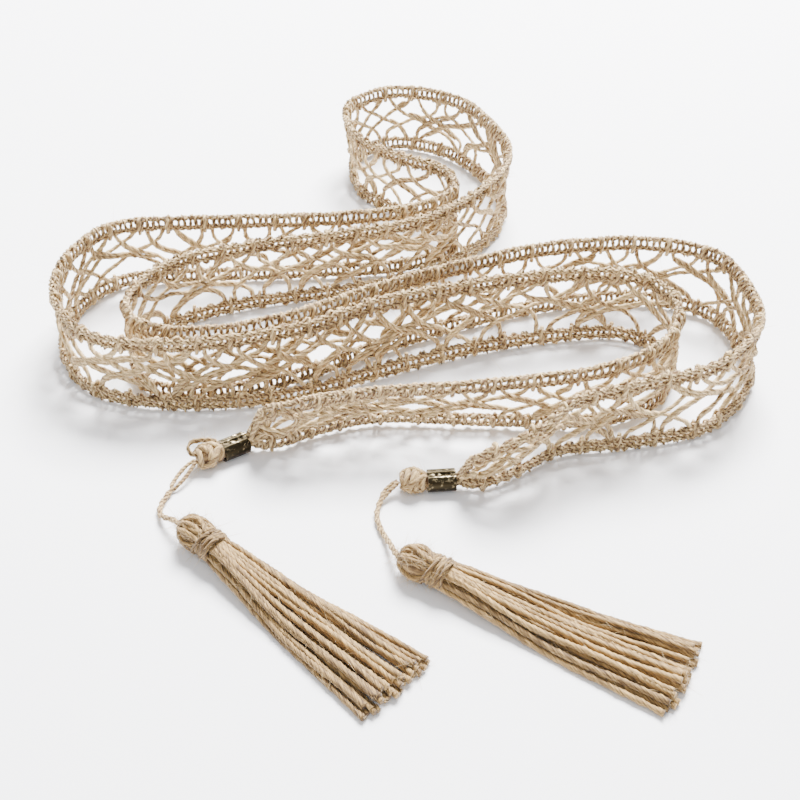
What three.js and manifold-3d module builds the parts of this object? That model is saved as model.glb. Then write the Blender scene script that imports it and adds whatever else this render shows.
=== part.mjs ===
// A lace waist sash of jute yarn, laid down on a table in one long folded path, standing on
// its lower edging. Each end is gathered into a metal clamp, then comes a knot, a short cord
// and a tassel. Millimetres, +Z up. The table is z = 0.

import * as THREE from "three";
import { mergeVertices } from "three/addons/utils/BufferGeometryUtils.js";
import Module from "manifold-3d";

const wasm = await Module();
wasm.setup();

// Driving sizes of the lace band
const BAND_WIDTH = 37; // across the lace, edging to edging
const EDGE_THICK = 4; // braided edging
const NET_THICK = 2.4; // crossed yarns of the net
const LAY_WIDE = 300; // spread of the laid path from left to right
const LAY_DEEP = 300; // spread of the laid path from front to back
const GAP_COLUMNS = 57; // open meshes along the band, two to a column
const PLAIN_END = 36; // gathered lace at each end, with its meshes drawn shut

// Driving sizes of the clamps, knots, cords and tassels
const CLAMP_OUTER = 8.6;
const CLAMP_WALL = 0.7;
const CLAMP_LENGTH = 10.5;
const CLAMP_GROOVE = 0.5; // depth of the two lengthwise crimps
const TONGUE_IN = 5.6; // how far the gathered end reaches into its clamp
const TONGUE_THICK = 3.6;
const NECK_IN = 4; // how far the yarn of the knot reaches into the clamp
const KNOT_LENGTH = 10.4;
const KNOT_GIRTH = 9.8; // diameter of the knot's body
const KNOT_SLANT = 20; // degrees that the turn of yarn round the knot slants
const YARN = 1.8; // diameter of one yarn
const CORD_THICK = 2.6; // two yarns twisted
const TASSEL_LENGTH = 108; // tip of the head to the longest yarn
const HEAD_GIRTH = 13; // diameter of the tassel's head
const HEAD_LENGTH = 11.5; // tip to binding
const NECK_GIRTH = 9.8; // diameter under the binding
const BINDING_LENGTH = 8;
const BINDING_THICK = 1.3;
const SKIRT_SPREAD = 37; // width of the fanned ends
const LOCK_THICK = 4.2; // one lock of the skirt
const LOCK_STEP = 0.8; // rise from one layer of locks to the next, a share of their thickness
const BINDING_TURNS = 4;
const BINDING_GROOVE = 0.45; // depth between its turns, a share of its thickness
const CLEARANCE = 0.3; // left between pieces that touch

const UP = new THREE.Vector3(0, 0, 1);

// The laid path, a row for each place where it bends. across and back are shares of LAY_WIDE
// and LAY_DEEP. lean and stand are shares of BAND_WIDTH: how far the top edging hangs over to
// the left of the way along, and how high it stands.
const FIRST_RUN = [
  { across: -0.173, back: -0.107, lean: -0.10, stand: 0.62 },
  { across: -0.147, back: -0.100, lean: -0.25, stand: 0.76 },
  { across: -0.108, back: -0.077, lean: -0.38, stand: 0.79 },
  { across: -0.027, back: -0.052, lean: -0.49, stand: 0.82 },
  { across: 0.107, back: -0.058, lean: -0.40, stand: 0.89 },
  { across: 0.247, back: -0.062, lean: -0.19, stand: 0.97 },
  { across: 0.333, back: -0.027, lean: -0.06, stand: 1.00 },
];
const INNER_RIGHT_TURN = [
  { across: 0.372, back: 0.034, lean: 0.00, stand: 1.00 },
  { across: 0.367, back: 0.099, lean: 0.00, stand: 1.00 },
  { across: 0.315, back: 0.141, lean: 0.00, stand: 1.00 },
];
const RETURN_RUN = [
  { across: 0.220, back: 0.133, lean: -0.08, stand: 1.00 },
  { across: 0.107, back: 0.102, lean: -0.14, stand: 0.99 },
  { across: -0.013, back: 0.052, lean: -0.22, stand: 0.98 },
  { across: -0.133, back: -0.002, lean: -0.11, stand: 1.00 },
  { across: -0.267, back: -0.023, lean: 0.00, stand: 1.00 },
  { across: -0.373, back: -0.010, lean: 0.08, stand: 1.00 },
];
const OUTER_LEFT_TURN = [
  { across: -0.438, back: 0.030, lean: 0.03, stand: 1.00 },
  { across: -0.477, back: 0.110, lean: -0.03, stand: 1.00 },
  { across: -0.471, back: 0.203, lean: -0.06, stand: 1.00 },
  { across: -0.422, back: 0.275, lean: -0.08, stand: 1.00 },
];
const BACK_RUN = [
  { across: -0.313, back: 0.291, lean: -0.07, stand: 1.00 },
  { across: -0.160, back: 0.302, lean: -0.09, stand: 0.99 },
  { across: -0.007, back: 0.318, lean: -0.06, stand: 1.00 },
];
const TIGHT_TURN = [
  { across: 0.082, back: 0.370, lean: 0.00, stand: 1.00 },
  { across: 0.072, back: 0.445, lean: 0.02, stand: 1.00 },
  { across: -0.013, back: 0.503, lean: 0.02, stand: 1.00 },
];
const FAR_LOOP = [
  { across: -0.069, back: 0.570, lean: 0.05, stand: 1.00 },
  { across: -0.075, back: 0.672, lean: 0.10, stand: 0.99 },
  { across: -0.010, back: 0.733, lean: 0.02, stand: 1.00 },
  { across: 0.083, back: 0.693, lean: 0.12, stand: 0.99 },
  { across: 0.141, back: 0.605, lean: 0.08, stand: 0.99 },
  { across: 0.169, back: 0.505, lean: 0.04, stand: 1.00 },
  { across: 0.140, back: 0.403, lean: 0.00, stand: 1.00 },
  { across: 0.040, back: 0.300, lean: 0.03, stand: 1.00 },
];
const MIDDLE_RUN = [
  { across: -0.087, back: 0.253, lean: 0.03, stand: 1.00 },
  { across: -0.220, back: 0.220, lean: 0.03, stand: 1.00 },
  { across: -0.325, back: 0.168, lean: 0.00, stand: 1.00 },
];
const INNER_LEFT_TURN = [
  { across: -0.370, back: 0.085, lean: 0.00, stand: 1.00 },
  { across: -0.346, back: 0.017, lean: 0.00, stand: 1.00 },
];
const SECOND_RUN = [
  { across: -0.260, back: -0.001, lean: 0.00, stand: 1.00 },
  { across: -0.153, back: 0.030, lean: 0.00, stand: 1.00 },
  { across: -0.040, back: 0.097, lean: 0.00, stand: 1.00 },
  { across: 0.087, back: 0.162, lean: 0.00, stand: 1.00 },
  { across: 0.220, back: 0.212, lean: 0.00, stand: 1.00 },
  { across: 0.347, back: 0.229, lean: -0.04, stand: 1.00 },
];
const OUTER_RIGHT_TURN = [
  { across: 0.448, back: 0.194, lean: -0.03, stand: 1.00 },
  { across: 0.481, back: 0.103, lean: -0.05, stand: 1.00 },
  { across: 0.473, back: 0.014, lean: -0.02, stand: 1.00 },
];
const LAST_RUN = [
  { across: 0.403, back: -0.070, lean: 0.00, stand: 1.00 },
  { across: 0.300, back: -0.103, lean: 0.06, stand: 1.00 },
  { across: 0.207, back: -0.117, lean: 0.22, stand: 0.96 },
  { across: 0.147, back: -0.157, lean: 0.28, stand: 0.86 },
  { across: 0.107, back: -0.179, lean: 0.20, stand: 0.72 },
  { across: 0.087, back: -0.181, lean: 0.08, stand: 0.50 },
];
const LAID_PATH = [
  ...FIRST_RUN, ...INNER_RIGHT_TURN, ...RETURN_RUN, ...OUTER_LEFT_TURN, ...BACK_RUN,
  ...TIGHT_TURN, ...FAR_LOOP, ...MIDDLE_RUN, ...INNER_LEFT_TURN, ...SECOND_RUN,
  ...OUTER_RIGHT_TURN, ...LAST_RUN,
];

// Where the axis of each clamp lies: its middle, as shares of the lay, and the way that it
// points along the table towards the lace, in degrees from +X.
const LEFT_CLAMP = { across: -0.213, back: -0.115, heading: 34 };
const RIGHT_CLAMP = { across: 0.0515, back: -0.18, heading: 5 };

// One open mesh along a column: where its edge has a corner, as a share of the column, and how
// wide open it is there.
const MESH_OUTLINE = [
  { along: 0.05, open: 0.0 },
  { along: 0.27, open: 0.78 },
  { along: 0.50, open: 1.0 },
  { along: 0.73, open: 0.78 },
  { along: 0.95, open: 0.0 },
];
const MESH_HIGH = 0.29; // tallest opening of one mesh, a share of the band's width
const MESH_MIDDLES = [0.315, 0.685]; // heights of the two rows, shares of the band's width

// Where the gathered lace beside a clamp has a section, as shares of the way to its first mesh
const FLARE_STATIONS = [0.12, 0.27, 0.45, 0.7, 1];

// The locks of a tassel: side is the share of the half spread, layer counts up from the table,
// reach is the share of the tassel's length.
const LOCKS = [
  { side: -1.0, layer: 0, reach: 0.93 },
  { side: -0.66, layer: 0, reach: 0.98 },
  { side: -0.33, layer: 0, reach: 0.95 },
  { side: 0.0, layer: 0, reach: 1.0 },
  { side: 0.34, layer: 0, reach: 0.95 },
  { side: 0.67, layer: 0, reach: 0.99 },
  { side: 1.0, layer: 0, reach: 0.94 },
  { side: -0.72, layer: 1, reach: 0.9 },
  { side: -0.24, layer: 1, reach: 0.96 },
  { side: 0.24, layer: 1, reach: 0.92 },
  { side: 0.72, layer: 1, reach: 0.95 },
];

// Where each tassel lies: the tip of its head in the lay, in millimetres, and its heading.
const LEFT_TASSEL = { x: -77.4, y: -80.5, heading: -42 };
const RIGHT_TASSEL = { x: 0, y: -96.5, heading: -29 };

// The two short cords, from knot to tassel, as they lie
const LEFT_CORD = [
  [-77.4, -43.7, 4.9], [-79.2, -45.9, 4.4], [-81.2, -49.2, 3.5], [-83.2, -52.8, 2.6],
  [-85.0, -56.4, 1.9], [-86.6, -60.2, 1.6], [-87.7, -63.9, 1.6], [-88.0, -67.1, 1.6],
  [-87.3, -70.0, 2.0], [-86.0, -72.3, 2.9], [-84.2, -74.3, 4.0], [-82.2, -76.2, 5.2],
  [-80.2, -78.1, 6.0], [-78.1, -79.9, 6.3],
];
const RIGHT_CORD = [
  [-0.8, -55.5, 4.9], [-2.9, -57.2, 4.3], [-5.2, -59.6, 3.2], [-7.0, -62.6, 2.2],
  [-8.1, -66.2, 1.6], [-8.4, -70.2, 1.6], [-7.9, -74.0, 1.6], [-6.8, -77.8, 1.6],
  [-5.5, -81.4, 1.9], [-4.3, -84.8, 2.8], [-3.2, -88.2, 4.0], [-2.3, -91.8, 5.2],
  [-0.8, -96.0, 6.3],
];

// Colours
const JUTE = { color: 0xc6ab84, roughness: 0.92, metalness: 0 };
const JUTE_WRAP = { color: 0xbfa279, roughness: 0.92, metalness: 0 };
const OLD_BRASS = { color: 0x5b4c2c, roughness: 0.42, metalness: 0.9 };

// Solid from a three.js geometry, and back
function solidOf(geometry) {
  const bare = geometry.clone();
  bare.deleteAttribute("normal");
  bare.deleteAttribute("uv");
  const merged = mergeVertices(bare, 1e-4);
  return new wasm.Manifold(new wasm.Mesh({
    numProp: 3,
    vertProperties: Float32Array.from(merged.attributes.position.array),
    triVerts: Uint32Array.from(merged.index.array),
  }));
}

function geometryOf(solid) {
  const mesh = solid.getMesh();
  const geometry = new THREE.BufferGeometry();
  geometry.setAttribute("position", new THREE.BufferAttribute(mesh.vertProperties, 3));
  geometry.setIndex(new THREE.BufferAttribute(mesh.triVerts, 1));
  geometry.computeVertexNormals();
  return geometry;
}

function fuse(geometries) {
  return geometryOf(geometries.map(solidOf).reduce((whole, piece) => whole.add(piece)));
}

function headingVector(degrees) {
  const angle = THREE.MathUtils.degToRad(degrees);
  return new THREE.Vector3(Math.cos(angle), Math.sin(angle), 0);
}

// Middle of a clamp's axis, half its diameter above the table
function clampMiddle(clamp) {
  return new THREE.Vector3(clamp.across * LAY_WIDE, clamp.back * LAY_DEEP, CLAMP_OUTER / 2);
}

// The gathered end is a tongue that just fits the clamp's bore, corner to corner
const CLAMP_BORE = CLAMP_OUTER - 2 * CLAMP_WALL - 2 * CLAMP_GROOVE;
const BORE_SIDES = 16;
const BORE_ACROSS_FLATS = CLAMP_BORE * Math.cos(Math.PI / BORE_SIDES);
const TONGUE_WIDE = Math.sqrt((BORE_ACROSS_FLATS - 2 * CLEARANCE) ** 2 - TONGUE_THICK ** 2);

function tongueFoot(clamp, fromItsEnd) {
  const alongAxis = CLAMP_LENGTH / 2 - TONGUE_IN + fromItsEnd;
  return clampMiddle(clamp)
    .addScaledVector(headingVector(clamp.heading), alongAxis)
    .setZ((CLAMP_OUTER - TONGUE_WIDE) / 2);
}

const TONGUE_LENGTH = TONGUE_IN + 2 * CLEARANCE;

function tongueRows(clamp) {
  return [0, TONGUE_LENGTH / 2, TONGUE_LENGTH].map((fromItsEnd) => ({
    foot: tongueFoot(clamp, fromItsEnd),
    lean: 0,
    stand: TONGUE_WIDE,
  }));
}

const rows = [
  ...tongueRows(LEFT_CLAMP),
  ...LAID_PATH.map((row) => ({
    foot: new THREE.Vector3(row.across * LAY_WIDE, row.back * LAY_DEEP, 0),
    lean: row.lean * BAND_WIDTH,
    stand: row.stand * BAND_WIDTH,
  })),
  ...tongueRows(RIGHT_CLAMP).reverse(),
];
const footLine = new THREE.CatmullRomCurve3(rows.map((row) => row.foot), false, "catmullrom");
const stance = new THREE.CatmullRomCurve3(
  rows.map((row) => new THREE.Vector3(row.lean, row.stand, 0)), false, "catmullrom",
);
footLine.arcLengthDivisions = 40 * rows.length;
const BAND_LENGTH = footLine.getLength();

// The band's own frame at a distance along it: the foot, the slant up to the top edging, and
// the way out of the wall to the left
function frameAt(distance) {
  const t = footLine.getUtoTmapping(0, distance);
  const foot = footLine.getPoint(t);
  foot.z = Math.max(foot.z, 0);
  const { x: lean, y: stand } = stance.getPoint(t);
  const along = footLine.getTangent(t).setZ(0).normalize();
  const slant = UP.clone().multiplyScalar(stand).addScaledVector(UP.clone().cross(along), lean);
  const out = slant.clone().cross(along).normalize();
  return { foot, slant, out };
}

// In a clamp the tongue lies straight along the clamp's axis
function tongueFrame(distance) {
  const isFirst = distance < BAND_LENGTH / 2;
  const clamp = isFirst ? LEFT_CLAMP : RIGHT_CLAMP;
  const along = headingVector(clamp.heading).multiplyScalar(isFirst ? 1 : -1);
  return {
    foot: tongueFoot(clamp, isFirst ? distance : BAND_LENGTH - distance),
    slant: UP.clone().multiplyScalar(TONGUE_WIDE),
    out: UP.clone().cross(along),
  };
}

// Narrowed lace is bunched, so it is thicker
function bunching(slant) {
  const narrowed = BAND_WIDTH / slant.length();
  return THREE.MathUtils.clamp(Math.sqrt(narrowed), 1, 1.7);
}

// Stations along the band, each with how far its meshes stand open
function laceStations() {
  const stations = [];
  const flare = PLAIN_END - TONGUE_LENGTH;
  const ends = [
    { distance: 0, open: 0, inClamp: true },
    { distance: TONGUE_LENGTH, open: 0, inClamp: true },
    ...FLARE_STATIONS.map((share) => ({ distance: TONGUE_LENGTH + share * flare, open: 0 })),
  ];
  stations.push(...ends);
  const pitch = (BAND_LENGTH - 2 * PLAIN_END) / GAP_COLUMNS;
  for (let column = 0; column < GAP_COLUMNS; column += 1) {
    for (const { along, open } of MESH_OUTLINE) {
      stations.push({ distance: PLAIN_END + (column + along) * pitch, open });
    }
  }
  for (const end of ends.reverse()) {
    stations.push({ ...end, distance: BAND_LENGTH - end.distance });
  }
  return stations;
}

// The six lines that run along the band: both outer edges, and both sides of each mesh row
function heightsAcross(open) {
  const half = (open * MESH_HIGH) / 2;
  const [low, high] = MESH_MIDDLES;
  return [0, low - half, low + half, high - half, high + half, 1];
}

function laceBand() {
  const positions = [];
  const triangles = [];
  const vertex = (point) => positions.push(point.x, point.y, point.z) / 3 - 1;
  const quad = (a, b, c, d) => triangles.push(a, b, c, a, c, d);

  // A left and a right vertex for each line. A shut mesh has one vertex for both its sides.
  const grid = laceStations().map(({ distance, open, inClamp }) => {
    const { foot, slant, out } = inClamp ? tongueFrame(distance) : frameAt(distance);
    const swell = inClamp ? 1 : bunching(slant);
    const raise = (Math.abs(out.z) * EDGE_THICK * swell) / 2;
    const lines = [];
    heightsAcross(open).forEach((height, line) => {
      if (open === 0 && (line === 2 || line === 4)) {
        lines.push(lines[line - 1]);
        return;
      }
      const isEdge = line === 0 || line === 5;
      const half = (inClamp ? TONGUE_THICK : swell * (isEdge ? EDGE_THICK : NET_THICK)) / 2;
      const middle = foot.clone().addScaledVector(slant, height);
      middle.z += raise;
      lines.push({
        left: vertex(middle.clone().addScaledVector(out, half)),
        right: vertex(middle.clone().addScaledVector(out, -half)),
      });
    });
    return { open, lines };
  });

  const strips = [[0, 1], [2, 3], [4, 5]];
  for (let i = 0; i + 1 < grid.length; i += 1) {
    const here = grid[i].lines;
    const next = grid[i + 1].lines;
    for (const [low, high] of strips) {
      quad(here[low].left, here[high].left, next[high].left, next[low].left);
      quad(here[low].right, next[low].right, next[high].right, here[high].right);
    }
    const isOpen = grid[i].open > 0 || grid[i + 1].open > 0;
    const facingDown = isOpen ? [0, 2, 4] : [0];
    const facingUp = isOpen ? [1, 3, 5] : [5];
    for (const k of facingDown) {
      quad(here[k].left, next[k].left, next[k].right, here[k].right);
    }
    for (const k of facingUp) {
      quad(here[k].left, here[k].right, next[k].right, next[k].left);
    }
  }
  const first = grid[0].lines;
  const last = grid[grid.length - 1].lines;
  for (const [low, high] of strips) {
    quad(first[low].left, first[low].right, first[high].right, first[high].left);
    quad(last[low].left, last[high].left, last[high].right, last[low].right);
  }

  const geometry = new THREE.BufferGeometry();
  geometry.setAttribute("position", new THREE.Float32BufferAttribute(positions, 3));
  geometry.setIndex(triangles);
  geometry.computeVertexNormals();
  return geometry;
}

// A clamp is a short tube with two crimps pressed into its top, along its length
function clampTube() {
  const SIDES = 24;
  const CRIMPS = [5, 8];
  const outline = [];
  for (let side = 0; side < SIDES; side += 1) {
    const radius = CLAMP_OUTER / 2 - (CRIMPS.includes(side) ? CLAMP_GROOVE : 0);
    const angle = (2 * Math.PI * side) / SIDES;
    outline.push(new THREE.Vector2(radius * Math.cos(angle), radius * Math.sin(angle)));
  }
  const section = new THREE.Shape(outline);
  section.holes.push(new THREE.Path().absarc(0, 0, CLAMP_BORE / 2, 0, 2 * Math.PI));
  const tube = new THREE.ExtrudeGeometry(section, {
    depth: CLAMP_LENGTH, bevelEnabled: false, curveSegments: BORE_SIDES / 2,
  });
  tube.translate(0, 0, -CLAMP_LENGTH / 2);
  tube.rotateX(Math.PI / 2);
  tube.rotateZ(Math.PI / 2);
  return tube;
}

// Closed round bar along a curve
function bar(curve, thick, sides, steps) {
  const corners = [];
  for (let side = 0; side < sides; side += 1) {
    const angle = (2 * Math.PI * side) / sides;
    corners.push(new THREE.Vector2(Math.cos(angle), Math.sin(angle)).multiplyScalar(thick / 2));
  }
  const section = new THREE.Shape(corners);
  return new THREE.ExtrudeGeometry(section, { steps, extrudePath: curve, bevelEnabled: false });
}

// The small loop of yarn on the left knot, as shares of the knot's length and girth
const KNOT_LOOP = [
  { along: -0.38, left: 0.03, rise: 0.33 },
  { along: -0.94, left: 0.20, rise: 0.51 },
  { along: -1.25, left: 0.05, rise: 0.45 },
  { along: -1.00, left: -0.15, rise: 0.27 },
  { along: -0.56, left: -0.10, rise: 0.15 },
];

// A knot lies along -X from the clamp: a neck of yarn in the clamp, and a body with a turn of
// yarn round it. The left knot keeps a small loop of yarn on top.
function knot(hasLoop) {
  const rest = (KNOT_GIRTH - CLAMP_OUTER) / 2;
  const body = new THREE.SphereGeometry(0.5, 10, 7);
  body.scale(KNOT_LENGTH, KNOT_GIRTH - YARN / 2, KNOT_GIRTH - YARN / 2);
  body.translate(-KNOT_LENGTH / 2, 0, rest);
  const turn = new THREE.TorusGeometry((KNOT_GIRTH - YARN) / 2, YARN / 2, 5, 12);
  turn.rotateY(Math.PI / 2);
  turn.rotateZ(THREE.MathUtils.degToRad(KNOT_SLANT));
  turn.translate(-0.45 * KNOT_LENGTH, 0, rest);
  const neckRadius = BORE_ACROSS_FLATS / 2 - CLEARANCE;
  const neckReach = KNOT_LENGTH / 3 + CLEARANCE + NECK_IN;
  const neck = new THREE.CylinderGeometry(neckRadius, neckRadius, neckReach, 8);
  neck.rotateZ(Math.PI / 2);
  neck.translate(CLEARANCE + NECK_IN - neckReach / 2, 0, 0);
  const pieces = [body, turn, neck];
  if (hasLoop) {
    const loop = new THREE.CatmullRomCurve3(KNOT_LOOP.map(({ along, left, rise }) => (
      new THREE.Vector3(along * KNOT_LENGTH, left * KNOT_LENGTH, rise * KNOT_GIRTH)
    )));
    pieces.push(bar(loop, YARN, 6, 10));
  }
  return fuse(pieces);
}

function cord(points) {
  const route = new THREE.CatmullRomCurve3(points.map((point) => new THREE.Vector3(...point)));
  return bar(route, CORD_THICK, 8, 12);
}

// The round head, from its tip to the binding: shares of its length and girth
const HEAD_OUTLINE = [
  { along: 0.0, girth: 0.3 },
  { along: 0.14, girth: 0.66 },
  { along: 0.4, girth: 0.95 },
  { along: 0.68, girth: 1.0 },
  { along: 0.9, girth: 0.88 },
];

// How a lock goes from the neck to its end: how far along it, how far fanned out, and how far
// down to the table
const LOCK_LIE = [
  { along: 0.0, spread: 0.0, drop: 0.0 },
  { along: 0.2, spread: 0.17, drop: 0.3 },
  { along: 0.5, spread: 0.48, drop: 0.85 },
  { along: 0.75, spread: 0.76, drop: 1.0 },
  { along: 1.0, spread: 1.0, drop: 1.0 },
];

// A tassel lies along +X from the tip of its head, on the table: a turned head and neck, and
// locks of yarn that leave the neck and fan out flat
function tassel() {
  const axisHeight = HEAD_GIRTH / 2;
  const neckEnd = HEAD_LENGTH + BINDING_LENGTH;
  const coreEnd = neckEnd + LOCK_THICK / 2;
  const head = HEAD_GIRTH / 2;
  const neck = NECK_GIRTH / 2;
  const profile = [
    [0, 0],
    ...HEAD_OUTLINE.map(({ along, girth }) => [along * HEAD_LENGTH, girth * head]),
    [HEAD_LENGTH, neck],
    [coreEnd, neck],
    [coreEnd, 0],
  ].map(([along, radius]) => new THREE.Vector2(radius, along));
  const core = new THREE.LatheGeometry(profile, 14);
  core.rotateZ(-Math.PI / 2);
  core.translate(0, 0, axisHeight);
  const start = neckEnd + 2 * CLEARANCE;
  const half = (SKIRT_SPREAD - LOCK_THICK) / 2;
  const locks = LOCKS.map(({ side, layer, reach }) => {
    const atNeck = axisHeight + (layer - 0.5) * LOCK_STEP * LOCK_THICK;
    const atRest = CLEARANCE + (0.5 + LOCK_STEP * layer) * LOCK_THICK;
    const end = reach * TASSEL_LENGTH;
    const lie = new THREE.CatmullRomCurve3(LOCK_LIE.map(({ along, spread, drop }) => (
      new THREE.Vector3(
        THREE.MathUtils.lerp(start, end, along),
        side * THREE.MathUtils.lerp(neck - LOCK_THICK / 2, half, spread),
        THREE.MathUtils.lerp(atNeck, atRest, drop),
      )
    )));
    return bar(lie, LOCK_THICK, 6, 5);
  });
  return fuse([core, ...locks]);
}

// The binding is yarn wound round the neck, a ring with a ridge for each turn
function binding() {
  const inner = NECK_GIRTH / 2 + CLEARANCE;
  const length = BINDING_LENGTH - 2 * CLEARANCE;
  const groove = inner + (1 - BINDING_GROOVE) * BINDING_THICK;
  const profile = [new THREE.Vector2(inner, 0)];
  for (let turn = 0; turn < BINDING_TURNS; turn += 1) {
    const along = (turn * length) / BINDING_TURNS;
    profile.push(new THREE.Vector2(groove, along));
    profile.push(new THREE.Vector2(inner + BINDING_THICK, along + length / BINDING_TURNS / 2));
  }
  profile.push(new THREE.Vector2(groove, length));
  profile.push(new THREE.Vector2(inner, length));
  profile.push(new THREE.Vector2(inner, 0));
  const ring = new THREE.LatheGeometry(profile, 14);
  ring.rotateZ(-Math.PI / 2);
  ring.translate(HEAD_LENGTH + CLEARANCE, 0, HEAD_GIRTH / 2);
  return ring;
}

// Assembly
const laid = new THREE.Group();

function addPiece(parent, name, geometry, finish) {
  const mesh = new THREE.Mesh(geometry, new THREE.MeshStandardMaterial(finish));
  mesh.name = name;
  parent.add(mesh);
  return mesh;
}

function addEnd(side, clamp, cordPoints, tasselPlace) {
  const metalwork = new THREE.Group();
  metalwork.position.copy(clampMiddle(clamp));
  metalwork.rotation.z = THREE.MathUtils.degToRad(clamp.heading);
  addPiece(metalwork, `clamp_${side}`, clampTube(), OLD_BRASS);
  const knotMesh = addPiece(metalwork, `knot_${side}`, knot(side === "left"), JUTE_WRAP);
  knotMesh.position.x = -CLAMP_LENGTH / 2 - CLEARANCE;
  laid.add(metalwork);

  addPiece(laid, `cord_${side}`, cord(cordPoints), JUTE);

  const drop = new THREE.Group();
  drop.position.set(tasselPlace.x, tasselPlace.y, 0);
  drop.rotation.z = THREE.MathUtils.degToRad(tasselPlace.heading);
  addPiece(drop, `tassel_${side}`, tassel(), JUTE);
  addPiece(drop, `binding_${side}`, binding(), JUTE_WRAP);
  laid.add(drop);
}

addPiece(laid, "lace_band", laceBand(), JUTE);
addEnd("left", LEFT_CLAMP, LEFT_CORD, LEFT_TASSEL);
addEnd("right", RIGHT_CLAMP, RIGHT_CORD, RIGHT_TASSEL);

// The origin is the middle of the laid sash, on the table
laid.updateMatrixWorld(true);
const extent = new THREE.Box3().setFromObject(laid, true);
const group = new THREE.Group();
group.add(laid);
laid.position.set(
  -(extent.min.x + extent.max.x) / 2,
  -(extent.min.y + extent.max.y) / 2,
  -extent.min.z,
);

export default group;
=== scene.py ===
# %% [markdown]
# A waist sash of jute lace, laid down on a pale table in one long folded path. The lace stands on
# its lower edging. Each end is gathered into a brass clamp, and then comes a knot, a short cord
# and a tassel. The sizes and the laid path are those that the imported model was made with. They
# are repeated here, and this lesson spins the yarn along them.

import math

import bpy
import numpy as np
from mathutils import Matrix, Vector


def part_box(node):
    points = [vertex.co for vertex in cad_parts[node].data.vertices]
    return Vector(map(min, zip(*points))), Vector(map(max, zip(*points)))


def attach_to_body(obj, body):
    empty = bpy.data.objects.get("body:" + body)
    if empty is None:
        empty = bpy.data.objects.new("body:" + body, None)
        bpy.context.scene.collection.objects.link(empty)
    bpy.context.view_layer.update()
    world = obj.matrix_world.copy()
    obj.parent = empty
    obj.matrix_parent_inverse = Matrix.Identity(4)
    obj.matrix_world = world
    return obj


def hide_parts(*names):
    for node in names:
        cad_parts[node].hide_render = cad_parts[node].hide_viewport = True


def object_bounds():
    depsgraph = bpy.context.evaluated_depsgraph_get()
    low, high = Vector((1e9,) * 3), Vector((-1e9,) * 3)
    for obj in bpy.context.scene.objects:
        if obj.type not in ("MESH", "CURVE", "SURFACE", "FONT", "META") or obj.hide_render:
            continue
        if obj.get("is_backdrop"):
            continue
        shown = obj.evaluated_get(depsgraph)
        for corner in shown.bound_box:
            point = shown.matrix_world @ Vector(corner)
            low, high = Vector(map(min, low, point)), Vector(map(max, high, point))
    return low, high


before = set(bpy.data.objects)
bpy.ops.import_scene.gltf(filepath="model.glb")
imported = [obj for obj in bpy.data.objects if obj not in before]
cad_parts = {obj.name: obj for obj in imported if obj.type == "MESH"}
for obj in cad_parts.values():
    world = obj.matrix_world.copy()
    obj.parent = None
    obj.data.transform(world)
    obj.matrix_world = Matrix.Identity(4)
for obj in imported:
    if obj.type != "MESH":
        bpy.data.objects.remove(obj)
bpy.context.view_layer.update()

# %% [markdown]
# The lay was measured on the table in millimetres from the point that the camera looks at. The
# model has its own origin, in the middle of the sash, so everything measured on the table is
# moved by the same small shift. The left clamp gives it, because its place is known in both.

# %%
# The shift from the table's millimetres to the model's
LEFT_CLAMP_MIDDLE = (-63.9, -34.5)  # on the table
clamp_low, clamp_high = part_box("clamp_left")
SHIFT = np.array([
    500 * (clamp_low.x + clamp_high.x) - LEFT_CLAMP_MIDDLE[0],
    500 * (clamp_low.y + clamp_high.y) - LEFT_CLAMP_MIDDLE[1],
    0.0,
])
print("shift, mm:", SHIFT.round(3))


def on_table(points):
    """Points measured on the table, in the model's place, in millimetres."""
    return np.asarray(points, float) + SHIFT


# %% [markdown]
# The camera stands in front of the table and looks down at 38 degrees. Its lens and distance
# were found by matching the outline of the folds.

# %%
# Camera
LOOKS_DOWN = math.radians(38)
CAMERA_FAR = 530.0
aim = on_table([0, 0, 0])
camera_place = aim + [0, -CAMERA_FAR * math.cos(LOOKS_DOWN), CAMERA_FAR * math.sin(LOOKS_DOWN)]
bpy.ops.object.camera_add(
    location=camera_place / 1000, rotation=(math.pi / 2 - LOOKS_DOWN, 0, 0)
)
camera = bpy.context.object
camera.data.sensor_width = 36
camera.data.lens = 58.5
bpy.context.scene.camera = camera
print("camera at", [round(c, 4) for c in camera.location])

# %% [markdown]
# Sizes of the sash, all in millimetres. The band's path is a table with a row for each place
# where it bends: how far across and back, how far the top edging hangs over to the left of the
# way along, and how high it stands, the last two as shares of the band's width.

# %%
# Sizes and the laid path
BAND_WIDTH = 37.0
EDGE_THICK = 4
LAY = 300  # the path's across and back are shares of this
CLAMP_OUTER = 8.6
CLAMP_LENGTH = 10.5
CLAMP_WALL = 0.7
TONGUE_WIDE = 4.1
TONGUE_LENGTH = 6.2
TONGUE_IN = 5.6  # how much of the lace is inside the clamp
EDGING_TALL = 8.0
YARN = 1.75

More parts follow.
